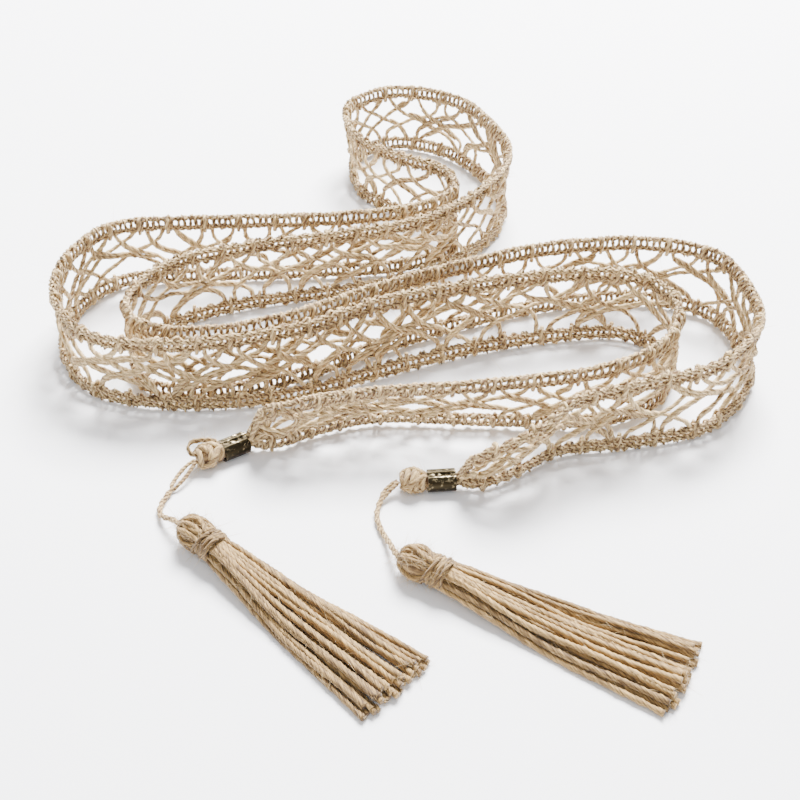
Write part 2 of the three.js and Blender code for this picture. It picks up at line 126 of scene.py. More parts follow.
LAID_PATH = [
    (-0.173, -0.107, -0.10, 0.62), (-0.147, -0.100, -0.25, 0.76), (-0.108, -0.077, -0.38, 0.79),
    (-0.027, -0.052, -0.49, 0.82), (0.107, -0.058, -0.40, 0.89), (0.247, -0.062, -0.19, 0.97),
    (0.333, -0.027, -0.06, 1.00), (0.372, 0.034, 0.00, 1.00), (0.367, 0.099, 0.00, 1.00),
    (0.315, 0.141, 0.00, 1.00), (0.220, 0.133, -0.08, 1.00), (0.107, 0.102, -0.14, 0.99),
    (-0.013, 0.052, -0.22, 0.98), (-0.133, -0.002, -0.11, 1.00), (-0.267, -0.023, 0.00, 1.00),
    (-0.373, -0.010, 0.08, 1.00), (-0.438, 0.030, 0.03, 1.00), (-0.477, 0.110, -0.03, 1.00),
    (-0.471, 0.203, -0.06, 1.00), (-0.422, 0.275, -0.08, 1.00), (-0.313, 0.291, -0.07, 1.00),
    (-0.160, 0.302, -0.09, 0.99), (-0.007, 0.318, -0.06, 1.00), (0.082, 0.370, 0.00, 1.00),
    (0.072, 0.445, 0.02, 1.00), (-0.013, 0.503, 0.02, 1.00), (-0.069, 0.570, 0.05, 1.00),
    (-0.075, 0.672, 0.10, 0.99), (-0.010, 0.733, 0.02, 1.00), (0.083, 0.693, 0.12, 0.99),
    (0.141, 0.605, 0.08, 0.99), (0.169, 0.505, 0.04, 1.00), (0.140, 0.403, 0.00, 1.00),
    (0.040, 0.300, 0.03, 1.00), (-0.087, 0.253, 0.03, 1.00), (-0.220, 0.220, 0.03, 1.00),
    (-0.325, 0.168, 0.00, 1.00), (-0.370, 0.085, 0.00, 1.00), (-0.346, 0.017, 0.00, 1.00),
    (-0.260, -0.001, 0.00, 1.00), (-0.153, 0.030, 0.00, 1.00), (-0.040, 0.097, 0.00, 1.00),
    (0.087, 0.162, 0.00, 1.00), (0.220, 0.212, 0.00, 1.00), (0.347, 0.229, -0.04, 1.00),
    (0.448, 0.194, -0.03, 1.00), (0.481, 0.103, -0.05, 1.00), (0.473, 0.014, -0.02, 1.00),
    (0.403, -0.070, 0.00, 1.00), (0.300, -0.103, 0.06, 1.00), (0.207, -0.117, 0.22, 0.96),
    (0.147, -0.157, 0.28, 0.86), (0.107, -0.179, 0.20, 0.72), (0.087, -0.181, 0.08, 0.50),
]

# Each clamp: its middle on the table, and its heading towards the lace, in degrees from +X
LEFT_CLAMP = (-63.9, -34.5, 34)
RIGHT_CLAMP = (15.45, -54.0, 5)

# Each tassel: the tip of its head on the table, and its heading
LEFT_TASSEL = (-77.4, -80.5, -42)
RIGHT_TASSEL = (0, -96.5, -29)

UP = np.array([0, 0, 1.0])
rng = np.random.default_rng(7)

# %% [markdown]
# Every curve here is a smooth line through given points. It is drawn with short even steps,
# because the twist of a yarn has to stay even along it.

# %%
# Smooth lines


def spline(points, per_span=10):
    """Smooth line through the points."""
    p = np.asarray(points, float)
    p = np.vstack([2 * p[0] - p[1], p, 2 * p[-1] - p[-2]])
    w = np.linspace(0, 1, per_span, endpoint=False)[:, None]
    spans = []
    for a, b, c, d in zip(p[:-3], p[1:-2], p[2:-1], p[3:]):
        rise, fall = (c - a) / 2, (d - b) / 2
        spans.append(
            b + rise * w + (3 * (c - b) - 2 * rise - fall) * w**2
            + (2 * (b - c) + rise + fall) * w**3
        )
    return np.vstack([*spans, p[-2]])


def run_of(points):
    """Distance along a line, at each of its points."""
    return np.concatenate([[0], np.cumsum(np.linalg.norm(np.diff(points, axis=0), axis=1))])


def evened(step, line, *values):
    """A line with even steps, and values along it carried to the new places."""
    run = run_of(line)
    marks = np.linspace(0, run[-1], max(3, int(round(run[-1] / step)) + 1))

    def carried(array):
        if array.ndim == 1:
            return np.interp(marks, run, array)
        return np.column_stack([np.interp(marks, run, column) for column in array.T])

    return [carried(np.asarray(array, float)) for array in (line, *values)]


def even(line, step):
    return evened(step, line)[0]


def unit(vectors):
    return vectors / np.linalg.norm(vectors, axis=-1, keepdims=True)


def heading(degrees):
    return np.array([math.cos(math.radians(degrees)), math.sin(math.radians(degrees)), 0])


# %% [markdown]
# The two cords come first. A cord is two yarns twisted together, and each yarn is itself two
# plies twisted the other way. It leaves the knot, lies down on the table in a short bow and goes
# up into the tip of the tassel's head.

# %%
# Where the two cords lie, on the table
LEFT_CORD = [
    (-77.4, -43.7, 4.9), (-79.2, -45.9, 4.4), (-81.2, -49.2, 3.5), (-83.2, -52.8, 2.6),
    (-85.0, -56.4, 1.9), (-86.6, -60.2, 1.6), (-87.7, -63.9, 1.6), (-88.0, -67.1, 1.6),
    (-87.3, -70.0, 2.0), (-86.0, -72.3, 2.9), (-84.2, -74.3, 4.0), (-82.2, -76.2, 5.2),
    (-80.2, -78.1, 6.0), (-78.1, -79.9, 6.3),
]
RIGHT_CORD = [
    (-0.8, -55.5, 4.9), (-2.9, -57.2, 4.3), (-5.2, -59.6, 3.2), (-7.0, -62.6, 2.2),
    (-8.1, -66.2, 1.6), (-8.4, -70.2, 1.6), (-7.9, -74.0, 1.6), (-6.8, -77.8, 1.6),
    (-5.5, -81.4, 1.9), (-4.3, -84.8, 2.8), (-3.2, -88.2, 4.0), (-2.3, -91.8, 5.2),
    (-0.8, -96.0, 6.3),
]
CORD_THICK = 2.6
CORD_YARN = 1.85
CORD_LAY = 9.0  # length of one full twist
CORD_OPENINGS = {  # how far each yarn is pushed out beside the knot, and for how long a way
    "left": (1.2, 16.0),
    "right": (0.5, 9.0),
}
cord_lines = {
    "left": even(spline(on_table(LEFT_CORD)), 0.4),
    "right": even(spline(on_table(RIGHT_CORD)), 0.4),
}
for side, line in cord_lines.items():
    print(side, "cord, mm:", round(run_of(line)[-1], 1))

# %% [markdown]
# One yarn is spun as a thin tube that isn't round: its section is two plies side by side, and it
# turns along the way, which gives the lay of the plies. A piece of work collects many such
# strands into one mesh. Each strand remembers its own shade and how much painted shade darkens
# the grooves between its plies, and the texture map runs along it, so that the fibres in the
# finish follow the yarn.

# %%
# The spinner
SECTION = np.array([1.0, 0.77, 0.75, 1.0, 0.77, 0.75])
SIDES = len(SECTION)
# Painted shade: the sides that lie in the grooves between the plies are darkened in the finish by
# this amount.
GROOVE_SHADE = 1 - (SECTION - SECTION.min()) / (1 - SECTION.min())
ALL_WORK = []


class Work:
    """Collects strands of yarn and makes them one mesh."""

    def __init__(self, name):
        self.name = name
        self.points, self.quads, self.caps = [], [], []
        self.maps, self.shades, self.grooves, self.lines = [], [], [], []
        self.count = 0
        ALL_WORK.append(self)

    def add(self, rings, run, shade, groove):
        """rings is an array of rings by sides by 3."""
        length, sides, _ = rings.shape
        first = self.count
        self.count += length * sides
        self.points.append(rings.reshape(-1, 3))
        index = first + np.arange(length * sides).reshape(length, sides)
        beside = np.roll(index, -1, axis=1)
        quads = np.stack([index[:-1], beside[:-1], beside[1:], index[1:]], axis=-1)
        self.quads.append(quads.reshape(-1, 4))
        u = run / 10 + 7.3 * shade
        v = np.arange(sides + 1) / sides
        corner = np.empty((length - 1, sides, 4, 2))
        corner[..., 0, 0] = corner[..., 1, 0] = u[:-1, None]
        corner[..., 2, 0] = corner[..., 3, 0] = u[1:, None]
        corner[..., 0, 1] = corner[..., 3, 1] = v[:-1]
        corner[..., 1, 1] = corner[..., 2, 1] = v[1:]
        self.maps.append(corner.reshape(-1, 2))
        self.caps.append((index[0][::-1], index[-1], u[0], u[-1]))
        self.shades.append(np.full(length * sides, shade))
        self.grooves.append(np.broadcast_to(groove, (length, sides)).reshape(-1))

    def spin(self, line, side, thick=YARN, turn=5.4, step=0.78, swell=1.0, relief=1.0):
        """A two-ply yarn along a line. side is a way across it, never along it. relief is how
        deep the grooves between its plies are, and how much painted shade lies in them."""
        side = np.broadcast_to(side, line.shape)
        swell = np.broadcast_to(swell, len(line))
        line, side, swell = evened(step, line, side, swell)
        run = run_of(line)
        along = unit(np.gradient(line, axis=0))
        across = unit(np.cross(along, side))
        up = np.cross(along, across)
        start = rng.uniform(0, 2 * math.pi)
        angle = (start + 2 * math.pi * run / turn)[:, None]
        angle = angle + np.arange(SIDES) * 2 * math.pi / SIDES
        uneven = 1 + 0.06 * np.sin(run / 2.9 + 9 * start) + 0.05 * np.sin(run / 1.3 + 4 * start)
        section = 1 - (1 - SECTION) * relief
        radius = (thick / 2 * section) * (uneven * swell)[:, None]
        rings = (
            line[:, None, :]
            + (radius * np.cos(angle))[..., None] * across[:, None, :]
            + (radius * np.sin(angle))[..., None] * up[:, None, :]
        )
        self.lines.append(line)
        self.add(rings, run, rng.random(), GROOVE_SHADE * relief)

    def hair(self, line, thick):
        """A stray fibre, three-sided, that thins towards its tip."""
        along = unit(np.gradient(line, axis=0))
        across = unit(np.cross(along, [0.31, 0.47, 0.83]))
        up = np.cross(along, across)
        angle = np.arange(3) * 2 * math.pi / 3
        radius = thick / 2 * np.linspace(1, 0.3, len(line))[:, None] * np.ones(3)
        rings = (
            line[:, None, :]
            + (radius * np.cos(angle))[..., None] * across[:, None, :]
            + (radius * np.sin(angle))[..., None] * up[:, None, :]
        )
        self.add(rings, run_of(line), rng.random(), 0.0)

    def make(self, material, slot, stands_for=()):
        """One mesh of all the strands, in metres, on the model's root."""
        points = np.vstack(self.points) / 1000
        points[:, 2] = np.maximum(points[:, 2], 0.00005)
        quads = np.vstack(self.quads)
        caps = [c for cap in self.caps for c in cap[:2]]
        cap_sizes = np.array([len(c) for c in caps])
        loops = np.concatenate([quads.reshape(-1), *caps])
        totals = np.concatenate([np.full(len(quads), 4), cap_sizes])
        starts = np.concatenate([[0], np.cumsum(totals)[:-1]])
        cap_maps = [
            np.full((len(cap[side]), 2), (cap[2 + side], 0.5)) for cap in self.caps
            for side in (0, 1)
        ]
        mesh = bpy.data.meshes.new(self.name)
        mesh.vertices.add(len(points))
        mesh.vertices.foreach_set("co", points.reshape(-1))
        mesh.loops.add(len(loops))
        mesh.loops.foreach_set("vertex_index", loops)
        mesh.polygons.add(len(totals))
        mesh.polygons.foreach_set("loop_start", starts)
        mesh.polygons.foreach_set("use_smooth", np.ones(len(totals), bool))
        mesh.update(calc_edges=True)
        chart = mesh.uv_layers.new(name="lay")
        chart.data.foreach_set("uv", np.vstack([*self.maps, *cap_maps]).reshape(-1))
        for name, values in (("shade", self.shades), ("groove", self.grooves)):
            layer = mesh.attributes.new(name, "FLOAT", "POINT")
            layer.data.foreach_set("value", np.concatenate(values))
        piece = bpy.data.objects.new(self.name, mesh)
        bpy.context.scene.collection.objects.link(piece)
        mesh.materials.append(material)
        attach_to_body(piece, "root")
        if stands_for:
            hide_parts(*stands_for)
        print(f"{self.name}: {sum(totals - 2)} triangles")
        return piece


# %% [markdown]
# Finishes are built from a few maths nodes, so this small class lets them be written as sums.
# A value is one output of the tree. Numbers go through Math nodes, colours through Mix nodes.

# %%
# Finish maths


class Value:
    """One output of a node tree, with the usual sums."""

    def __init__(self, tree, socket):
        self.tree, self.socket = tree, socket

    def node(self, kind, *inputs, out=0, **settings):
        """Any other node: its type, its settings, then its sockets in order or by name."""
        made = self.tree.nodes.new(kind)
        sockets = settings.pop("sockets", {})
        for key, value in settings.items():
            setattr(made, key, value)
        for key, value in [*enumerate(inputs), *sockets.items()]:
            if isinstance(value, Value):
                self.tree.links.new(value.socket, made.inputs[key])
            elif value is not None:
                made.inputs[key].default_value = value
        return Value(self.tree, made.outputs[out])

    def sum(self, what, other, clamp=False):
        return self.node("ShaderNodeMath", self, other, operation=what, use_clamp=clamp)

    def __add__(self, other):
        return self.sum("ADD", other)

    def __mul__(self, other):
        return self.sum("MULTIPLY", other)

    def __sub__(self, other):
        return self.sum("SUBTRACT", other)

    def __rsub__(self, other):
        return self.node("ShaderNodeMath", other, self, operation="SUBTRACT")

    __radd__, __rmul__ = __add__, __mul__

    def power(self, other):
        return self.sum("POWER", other)

    def within(self, low, high):
        """0 below low, 1 above high."""
        return self.node("ShaderNodeMapRange", self, low, high, 0.0, 1.0)

    def blend(self, low, high):
        """A colour between two, by this value."""
        return self.node(
            "ShaderNodeMix", data_type="RGBA", clamp_factor=True, out=2,
            sockets={0: self, 6: low, 7: high},
        )


def new_finish(name):
    """An empty finish: its tree and its shader."""
    material = bpy.data.materials.new(name)
    material.use_nodes = True
    tree = material.node_tree
    shader = next(n for n in tree.nodes if n.type == "BSDF_PRINCIPLED")
    return material, tree, shader


def attach(tree, value, socket):
    tree.links.new(value.socket, socket)


# %% [markdown]
# Jute is a dry, pale, golden fibre with a slight sheen along it. Every strand has its own shade,
# and streaks of fibre run along it. The grooves between the plies are painted darker and redder,
# as painted shade where the light does not reach. The lighter fibres stand on top.

# %%
# Jute


def jute(name, light, middle, deep, streaks):
    material, tree, shader = new_finish(name)
    start = Value(tree, tree.nodes.new("ShaderNodeUVMap").outputs[0])
    start.socket.node.uv_map = "lay"
    along = start.node("ShaderNodeMapping", start, sockets={"Scale": streaks})
    fibres = start.node(
        "ShaderNodeTexNoise", out=0,
        sockets={"Vector": along, "Scale": 3.0, "Detail": 5.0, "Roughness": 0.65},
    )
    place = Value(tree, tree.nodes.new("ShaderNodeTexCoord").outputs["Object"])
    patches = start.node(
        "ShaderNodeTexNoise", out=0,
        sockets={"Vector": place, "Scale": 70.0, "Detail": 3.0, "Roughness": 0.6},
    )
    shade = start.node("ShaderNodeAttribute", out=2, attribute_name="shade")
    groove = start.node("ShaderNodeAttribute", out=2, attribute_name="groove")
    tone = (
        fibres.within(0.42, 0.58) * 0.6 + patches.within(0.35, 0.65) * 0.1 + shade * 0.3
    )
    body = tone.blend(middle, light)
    # Painted shade: the grooves between the plies, and the cores of the knots and tassel heads,
    # are blended towards the deep colour, together with the lower tones of the fibres.
    painted_shade_and_tone = (groove.power(1.2) * 0.72 + (1.0 - tone).power(1.7) * 0.72)
    colour = painted_shade_and_tone.blend(body, deep)
    attach(tree, colour, shader.inputs["Base Color"])
    rough = fibres * 0.2 + 0.62
    attach(tree, rough, shader.inputs["Roughness"])
    bumps = start.node(
        "ShaderNodeBump", out=0,
        sockets={"Strength": 0.9, "Distance": 0.0003, "Height": fibres},
    )
    attach(tree, bumps, shader.inputs["Normal"])
    shader.inputs["Sheen Weight"].default_value = 0.15
    shader.inputs["Sheen Roughness"].default_value = 0.5
    shader.inputs["Specular IOR Level"].default_value = 0.3
    return material


YARN_FINISH = jute(
    "jute_lace", (1.0, 0.77, 0.41, 1), (0.64, 0.41, 0.17, 1), (0.09, 0.04, 0.01, 1),
    (1.1, 3.6, 1.0),
)
CORD_FINISH = jute(
    "jute_yarn", (0.84, 0.61, 0.295, 1), (0.42, 0.26, 0.095, 1), (0.08, 0.036, 0.01, 1),
    (1.1, 3.6, 1.0),
)
TASSEL_FINISH = jute(
    "jute_tassel", (0.60, 0.385, 0.145, 1), (0.20, 0.11, 0.034, 1), (0.03, 0.012, 0.003, 1),
    (0.45, 4.2, 1.0),
)
HAIR_FINISH = jute(
    "jute_fibre", (0.90, 0.70, 0.42, 1), (0.70, 0.50, 0.26, 1), (0.5, 0.33, 0.15, 1),
    (1.1, 3.6, 1.0),
)

# %% [markdown]
# The two yarns of a cord lie opposite one another and go round the cord's middle. Beside the knot
# they open into a narrow eye before the twist takes hold.


def twist_pair(work, line, side, thick, yarn, lay, step=0.7, apart=0.0, open_for=1.0):
    """Two yarns twisted round one another along a line. They can start side by side, with a
    gap between them for the first part of the way."""
    side = np.broadcast_to(side, line.shape)
    line, side = evened(0.4, line, side)
    along = unit(np.gradient(line, axis=0))
    across = unit(np.cross(along, side))
    up = np.cross(along, across)
    run = run_of(line)
    begin = 0.0 if apart else rng.uniform(0, 2 * math.pi)
    angle = begin - 2 * math.pi * np.maximum(run - 0.8 * open_for * bool(apart), 0) / lay
    reach = (thick - yarn) / 2 + apart * np.sin(math.pi * np.clip(run / open_for, 0, 1)) ** 0.8
    for half in (0, math.pi):
        offset = np.cos(angle + half)[:, None] * across + np.sin(angle + half)[:, None] * up
        work.spin(line + reach[:, None] * offset, side, thick=yarn, step=step, turn=3.6)


NEARLY_UP = np.array([0.02, 0.01, 1.0])
for side, line in cord_lines.items():
    work = Work(f"twisted_cord_{side}")
    gap, gap_length = CORD_OPENINGS[side]
    twist_pair(
        work, line, NEARLY_UP, CORD_THICK, CORD_YARN, CORD_LAY, apart=gap, open_for=gap_length
    )
    cord = work.make(CORD_FINISH, "jute_yarn", [f"cord_{side}"])
    line[0] / 1000
    (line / 1000).tolist()

# %% [markdown]
# The band's own coordinates: how far along it, how high up its width, and how far out of its
# wall to the left. Every yarn of the lace is planned on them as if the lace lay flat, and then
# put where the band stands.

# %%
# Where the band stands


def clamp_rows(clamp):
    x, y, towards = clamp
    foot = np.array([x, y, (CLAMP_OUTER - TONGUE_WIDE) / 2])
    start = CLAMP_LENGTH / 2 - TONGUE_IN
    return [
        (*(foot + heading(towards) * (start + share * TONGUE_LENGTH)), 0, TONGUE_WIDE)
        for share in (0, 0.5, 1)
    ]


path_rows = np.array([
    *clamp_rows(LEFT_CLAMP),
    *[(a * LAY, b * LAY, 0, c * BAND_WIDTH, d * BAND_WIDTH) for a, b, c, d in LAID_PATH],
    *clamp_rows(RIGHT_CLAMP)[::-1],
])
dense = spline(path_rows, 40)
feet = dense[:, :3].copy()
BAND_RUN = run_of(feet)
BAND_LENGTH = BAND_RUN[-1]
feet[:, 2] = np.maximum(feet[:, 2], 0)
feet += SHIFT
way = np.gradient(dense[:, :3], axis=0)
way[:, 2] = 0
way = unit(way)
left_of_way = np.cross([0, 0, 1], way)
slants = left_of_way * dense[:, 3:4] + np.array([0, 0, 1]) * dense[:, 4:5]
outs = unit(np.cross(slants, way))
swells = np.clip(np.sqrt(BAND_WIDTH / np.linalg.norm(slants, axis=1)), 1, 1.5)
in_clamp = np.minimum(BAND_RUN, BAND_LENGTH - BAND_RUN)
swells *= np.interp(in_clamp, [0, TONGUE_LENGTH, 14], [0.55, 0.6, 1])
lifts = np.abs(outs[:, 2]) * EDGE_THICK * swells / 2
BAND_TABLE = np.column_stack([feet, slants, outs, swells, lifts])
print("band, mm:", round(BAND_LENGTH, 1))


def on_band(run, height, out):
    """Points of the lace from their places along, across and out of the band. Where the band
    is drawn together, the edgings keep their size and the net between them is squeezed."""
    run, height, out = np.broadcast_arrays(
        np.asarray(run, float), np.asarray(height, float), np.asarray(out, float)
    )
    at = np.column_stack([np.interp(run, BAND_RUN, column) for column in BAND_TABLE.T])
    wide = np.linalg.norm(at[:, 3:6], axis=1)
    braid = EDGING_TALL * np.minimum(wide / (2.1 * EDGING_TALL), 1)
    marks = (height - EDGING_TALL) / (BAND_WIDTH - 2 * EDGING_TALL)
    net_height = braid + marks * (wide - 2 * braid)
    from_foot = height * braid / EDGING_TALL
    from_top = wide - (BAND_WIDTH - height) * braid / EDGING_TALL
    height = np.where(marks < 0, from_foot, np.where(marks > 1, from_top, net_height))
    place = at[:, 0:3] + at[:, 3:6] * (height / wide)[:, None]
    place = place + at[:, 6:9] * (out * at[:, 9])[:, None]
    place[:, 2] += at[:, 10]
    return place


def out_of_band(run):
    return np.column_stack([np.interp(run, BAND_RUN, column) for column in outs.T])


def way_of_band(run):
    return np.column_stack([np.interp(run, BAND_RUN, column) for column in way.T])


# %% [markdown]
# The net is one long yarn looped from edging to edging. From each anchor on an edging, one
# strand goes off to each side. It drops steeply, runs slantwise through the middle, and drops
# steeply again to an anchor two or three places on. Most strands have a second yarn beside them
# for part of the way. They pass in front of and behind one another, and no two are alike.

# %%
# Net
ANCHOR_PITCH = 14.8
START = 9.0
anchor_count = int((BAND_LENGTH - 2 * START) / ANCHOR_PITCH)
anchors = START + (np.arange(anchor_count) + 0.5) * (BAND_LENGTH - 2 * START) / anchor_count
top_anchors = anchors + rng.uniform(-1.7, 1.7, anchor_count)
low_anchors = anchors + rng.uniform(-1.7, 1.7, anchor_count)
HIGH_EDGE = BAND_WIDTH - EDGING_TALL + 1.6
LOW_EDGE = EDGING_TALL - 1.6


def net_strand(start, end, forward):
    """Along, height and out of one net strand, from its top anchor to its low one."""
    x = np.linspace(0, 1, 40)
    steep = rng.uniform(1.6, 4.2)
    share = 0.5 + 0.5 * np.tanh(steep * (x - rng.uniform(0.42, 0.58))) / math.tanh(steep / 2)
    share = share + (x - share) * (2 * x - 1) ** 6
    back = math.copysign(rng.uniform(0.4, 2.0), end - start)
    run = start + (end - start) * share - back * np.sin(2 * math.pi * x)
    height = HIGH_EDGE + (LOW_EDGE - HIGH_EDGE) * x
    height = height + rng.uniform(-2.5, 2.5) * np.sin(math.pi * x) ** 2
    height = height + 0.5 * np.sin(run / 2.6 + start) * np.sin(math.pi * x)
    side = 0.7 if forward else -0.7
    out = side * np.cos(3 * math.pi * x + rng.uniform(-0.4, 0.4)) * np.sin(math.pi * x) ** 0.4
    return run, height, out + rng.uniform(-0.25, 0.25)


DOUBLED = 0.8  # share of the strands with a second yarn
DOUBLE_ENDS = [0.06, 0.2, 0.35, 0.62, 0.8, 0.94]  # where a second yarn may start or stop


def double_strand(doubles, run, height, out, k):
    """A second yarn beside a strand, for part of its way."""
    first, last = sorted(rng.choice(DOUBLE_ENDS, 2, replace=False))
    part = slice(int(first * len(run)), int(last * len(run)) + 1)
    run, height, out = run[part], height[part], out[part]
    beside = rng.choice([-1, 1]) * (1.5 + 0.5 * np.sin(run / 4.0 + k))
    beside = beside * np.sin(np.linspace(0.25, math.pi - 0.25, len(run))) ** 0.5
    doubles.spin(
        on_band(run, height + beside, out + 0.3 * np.sign(beside)), out_of_band(run),
        thick=rng.uniform(1.8, 2.1), turn=8.0, step=0.95, relief=0.7,
    )


# %%
# Lay the net
net = Work("lace_net")
doubles = Work("lace_net_doubled")
for k in range(anchor_count):
    for way_on in (1, -1):
        step = way_on * rng.choice([2, 2, 3])
        if not 0 <= k + step < anchor_count:
            continue
        lean = math.copysign(rng.uniform(1.4, 2.4), step)
        run, height, out = net_strand(
            top_anchors[k] + lean, low_anchors[k + step] - lean, step > 0
        )
        net.spin(
            on_band(run, height, out), out_of_band(run), thick=rng.uniform(2.0, 2.45),
            turn=8.0, step=0.95, relief=0.7,
        )
        if rng.random() < DOUBLED:
            double_strand(doubles, run, height, out, k)
net.make(YARN_FINISH, "jute_lace", ["lace_band"])
doubles.make(YARN_FINISH, "jute_lace")

# %% [markdown]
# Each edging is a narrow braid. Two twisted cords run along it as rails, and a wrapping yarn
# goes up and down between them and turns round each. The upper rail lies in front of the bars
# of the wrapping yarn, and the lower one lies among them. So one side of the band shows upright
# bars with small holes between them, and the other two rows of stitches. Where two strands of
# the net are made fast, the net's yarn goes round the braid as a thick upright bar.

# %%
# Edging parts
WRAP_PITCH = 5.2
WRAP_MIDDLE = 4.0
WRAP_REACH = 2.95
RAIL_HEIGHTS = (1.95, 6.05)
RAIL_OUTS = (0.0, 1.1)  # the rail below, and the one above it, which leans out
RAIL_THICK = 3.0
RAIL_YARN = 1.85
RAIL_LAY = 6.0
WRAP_PARTS = 90  # the wrapping yarn changes its thickness and shade this often


def edging_wrap(length):
    """Along, height, out and thickness of the wrapping yarn. Its bars stand upright, and it
    steps along where it turns round a rail."""
    turn = np.arange(0.3, length / WRAP_PITCH - 0.3, 1 / 26)
    phase = 2 * math.pi * turn
    run = WRAP_PITCH * (turn + 0.44 * np.sin(2 * phase) / (2 * math.pi))
    run = run + 0.22 * np.sin(run / 2.9 + 1.0) + 0.3 * np.sin(run / 7.1)
    reach = WRAP_REACH * (1 + 0.07 * np.sin(run / 1.9) + 0.06 * np.sin(run / 1.2 + 2))
    height = WRAP_MIDDLE + reach * np.cos(phase) + 0.15 * np.sin(run / 6.3)
    out = -0.8 + 1.4 * np.cos(phase) ** 2
    return run, np.clip(height, 0.85, 7.6), out, 1 + 0.58 * np.cos(phase) ** 4


def anchor_loop(middle):
    """A turn of the net's yarn round the braid, from one strand of the net to the other."""
    places = spline([
        (middle - 0.4, 8.2, -0.7), (middle - 0.3, 5.2, -1.5), (middle - 0.1, 1.9, -1.3),
        (middle, 1.2, 0), (middle + 0.1, 1.9, 1.5), (middle + 0.3, 5.2, 1.7),
        (middle + 0.4, 8.2, 0.8),
    ], 6)
    return places.T


def on_edging(turned, run, height, out):
    """Places on an edging. The upper one is the lower one turned over."""
    return on_band(run, BAND_WIDTH - height if turned else height, out)


def lay_rails(rails, turned):
    inside = np.arange(1.0, BAND_LENGTH - 1.0, 0.5)
    for rail in RAIL_HEIGHTS:
        wander = 0.2 * np.sin(inside / 3.7 + rail) + 0.12 * np.sin(inside / 9.1 + 3 * rail)
        is_above = (rail > WRAP_MIDDLE) != turned
        twist_pair(
            rails, on_edging(turned, inside, rail + wander, RAIL_OUTS[is_above]),
            out_of_band(inside), RAIL_THICK, RAIL_YARN, RAIL_LAY, step=1.0,
        )


def lay_wraps(wraps, turned):
    run, height, out, swell = edging_wrap(BAND_LENGTH)
    for part in np.array_split(np.arange(len(run)), WRAP_PARTS):
        part = np.append(part, part[-1] + 1) if part[-1] + 1 < len(run) else part
        wraps.spin(
            on_edging(turned, run[part], height[part], out[part]), way_of_band(run[part]),
            thick=rng.uniform(1.75, 2.0), step=0.85, swell=swell[part],
        )


# %%
# Braid the two edgings
for which, turned, made_fast in (("lower", False, low_anchors), ("upper", True, top_anchors)):
    rails = Work(f"{which}_edging_rails")
    lay_rails(rails, turned)
    rails.make(YARN_FINISH, "jute_lace")
    wraps = Work(f"{which}_edging_wraps")
    lay_wraps(wraps, turned)
    for middle in made_fast:
        run, height, out = anchor_loop(middle)
        wraps.spin(
            on_edging(turned, run, height, out), way_of_band(run),
            thick=rng.uniform(1.8, 2.3), turn=8.0, relief=0.8,
        )
    wraps.make(YARN_FINISH, "jute_lace")

# %% [markdown]
# Beside each clamp the lace is drawn together. Loose yarns of the net bunch up there, two by
# two, and run out of the clamp's mouth in waves, so that hardly a gap shows for the first few
# centimetres. The table has a row for each pair, with its places: how far from the clamp, and
# how high up the width.

# %%
# Gathered yarns beside the clamps
gathers = Work("gathered_yarns")
THICK_LOOPS = [
    [(0.8, 19), (5, 21), (9, 30), (13, 34), (16, 30), (15, 20), (12, 9), (15, 4)],
    [(0.8, 16), (6, 15), (11, 22), (16, 31), (21, 33), (24, 26), (22, 15), (24, 7)],
    [(0.8, 21), (4, 27), (8, 33), (12, 30), (14, 22), (19, 14), (26, 10), (33, 12)],
    [(0.8, 18), (5, 11), (9, 6), (14, 9), (18, 18), (24, 25), (31, 27), (38, 31)],
    [(0.8, 17), (4, 14), (7, 19), (10, 24), (13, 20), (12, 14), (16, 12), (22, 16)],
    [(0.8, 20), (3, 23), (7, 17), (11, 13), (15, 17), (17, 23), (23, 21), (29, 14)],
]
for loops_in_lace, from_end in ((THICK_LOOPS[:5], False), (THICK_LOOPS[3:], True)):
    for k, loop in enumerate(loops_in_lace):
        for beside in (-0.9, 0.9):
            run, height = (spline(loop, 8) + beside * np.array([0.9, 0.6])).T
            run = np.maximum(run, 0.8)
            out = 1.3 * np.cos(run / 3.0 + 2 * k) + 0.3 * beside
            run = BAND_LENGTH - run if from_end else run
            gathers.spin(
                on_band(run, height, out), np.array([0.1, 0.05, 1.0]),
                thick=rng.uniform(1.7, 2.1), turn=8.0, relief=0.7,
            )
gathers.make(YARN_FINISH, "jute_lace")

# %% [markdown]
# A knot is a ball of yarn: a core, fat turns that go round it across the cord, and a few that run
# over it lengthwise. The core is darkened with painted shade, for the shade inside the ball. The
# left one keeps a small open loop on top.

# %%
# Knot parts
KNOT_LENGTH = 10.4
KNOT_GIRTH = 9.8
KNOT_LOOP = [
    (-68.4, -38.6, 7.6), (-70.8, -37.0, 9.3), (-75.0, -37.3, 9.8), (-79.5, -38.0, 9.2),
    (-80.5, -39.8, 8.0), (-79.1, -41.7, 6.6), (-76.3, -41.5, 5.9), (-73.7, -41.7, 5.6),
]
KNOT_REST = KNOT_GIRTH / 2 - CLAMP_OUTER / 2  # the ball's middle is this much higher
KNOT_GAP = 0.3  # from the clamp's end
# The cores, from (distance from the clamp's end, radius) pairs
CORE_IN_CLAMP = [(-3.5, 2.6), (1.2, 2.7)]
CORE_OF_BALL = [
    (0.4, 1.2), (1.2, 2.4), (3.0, 3.4), (5.2, 3.6), (7.4, 3.2), (9.0, 2.0), (9.7, 0.9),
]
# Turns round the ball: distance from the clamp, slant, thickness
KNOT_TURNS = {
    "left": [(1.7, 0.9, 2.9), (4.4, -1.5, 2.8), (6.7, 1.7, 2.7), (8.8, -0.7, 2.3)],
    "right": [
        (1.3, 0.6, 2.2), (3.2, -1.3, 2.1), (5.2, 1.4, 2.2), (7.2, -1.1, 2.1), (9.0, 0.5, 1.8),
    ],
}
